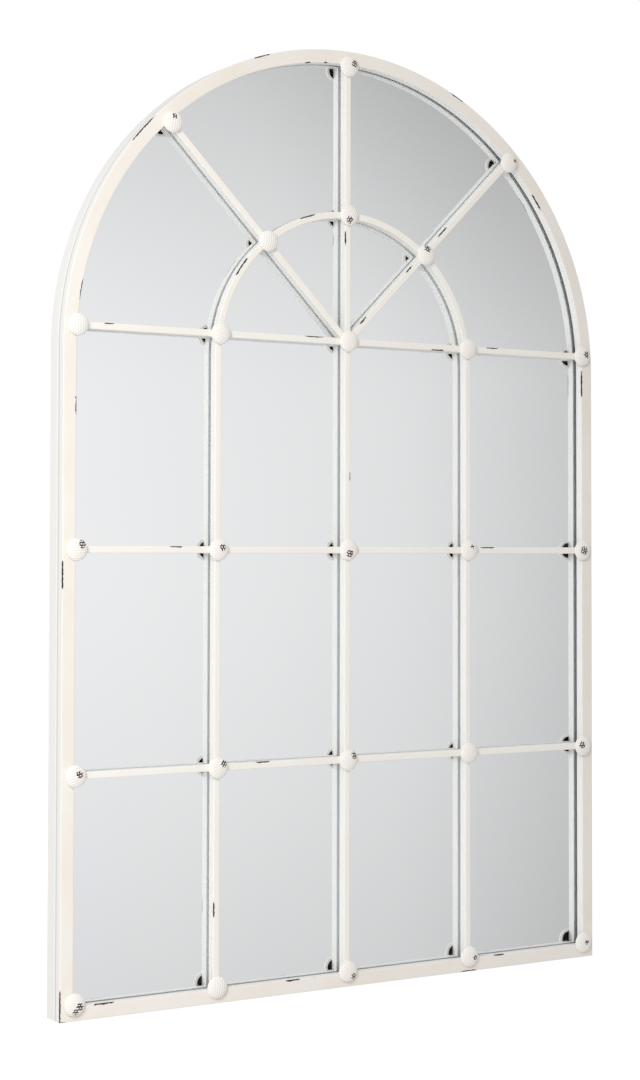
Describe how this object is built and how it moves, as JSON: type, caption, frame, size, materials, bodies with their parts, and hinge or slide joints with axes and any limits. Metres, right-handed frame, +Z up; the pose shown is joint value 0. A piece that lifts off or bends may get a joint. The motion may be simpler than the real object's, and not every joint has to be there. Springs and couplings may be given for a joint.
{
  "type": "arched window mirror",
  "caption": "Wall mirror shaped like an arched window: one mirror sheet behind a painted steel grille of bars, with a fan in the arch and domed rosettes at the crossings.",
  "frame": {"origin": "the point on the wall plane midway between the seats of the two keyholes, which are 767.4 mm apart and 760 mm above the bottom edge", "axes": "+Z up along the stiles, -Y out of the mirror's face into the room, +Y into the wall, +X to the viewer's right"},
  "size_m": [0.8, 0.0442, 1.2],
  "materials": {
    "frame_paint": "distressed cream paint on steel, satin, chipped along the edges",
    "rim_paint": "distressed cream-white paint on steel, satin",
    "bar_paint": "distressed cream paint on steel, satin, small chips",
    "rosette_paint": "cream paint rubbed through to dark metal on the relief",
    "mirror": "silvered float glass, polished",
    "backing_board": "plain fibreboard",
    "plated_steel": "zinc-plated sheet steel"
  },
  "bodies": {
    "root": {"backing_board": "backing_board", "centre_bar": "bar_paint", "front_arch": "frame_paint", "front_bottom_rail": "frame_paint", "front_stile_left": "frame_paint", "front_stile_right": "frame_paint", "hoop_arc_left": "bar_paint", "hoop_arc_right": "bar_paint", "hoop_leg_left": "bar_paint", "hoop_leg_right": "bar_paint", "inner_diagonal_left": "bar_paint", "inner_diagonal_right": "bar_paint", "keyhole_plate_left": "plated_steel", "keyhole_plate_right": "plated_steel", "lower_bar_far_left": "bar_paint", "lower_bar_far_right": "bar_paint", "lower_bar_left": "bar_paint", "lower_bar_right": "bar_paint", "middle_bar_far_left": "bar_paint", "middle_bar_far_right": "bar_paint", "middle_bar_left": "bar_paint", "middle_bar_right": "bar_paint", "mirror_glass": "mirror", "outer_diagonal_left": "bar_paint", "outer_diagonal_right": "bar_paint", "rear_rim_arch": "rim_paint", "rear_rim_bottom": "rim_paint", "rear_rim_left": "rim_paint", "rear_rim_right": "rim_paint", "rosette_arch_crown": "rosette_paint", "rosette_arch_left": "rosette_paint", "rosette_arch_right": "rosette_paint", "rosette_hoop_crown": "rosette_paint", "rosette_hoop_left": "rosette_paint", "rosette_hoop_right": "rosette_paint", "rosette_row1_1": "rosette_paint", "rosette_row1_2": "rosette_paint", "rosette_row1_3": "rosette_paint", "rosette_row1_4": "rosette_paint", "rosette_row1_5": "rosette_paint", "rosette_row2_1": "rosette_paint", "rosette_row2_2": "rosette_paint", "rosette_row2_3": "rosette_paint", "rosette_row2_4": "rosette_paint", "rosette_row2_5": "rosette_paint", "rosette_row3_1": "rosette_paint", "rosette_row3_2": "rosette_paint", "rosette_row3_3": "rosette_paint", "rosette_row3_4": "rosette_paint", "rosette_row3_5": "rosette_paint", "rosette_row4_1": "rosette_paint", "rosette_row4_2": "rosette_paint", "rosette_row4_3": "rosette_paint", "rosette_row4_4": "rosette_paint", "rosette_row4_5": "rosette_paint", "spring_bar_far_left": "bar_paint", "spring_bar_far_right": "bar_paint", "spring_bar_left": "bar_paint", "spring_bar_right": "bar_paint"}
  },
  "joints": []
}
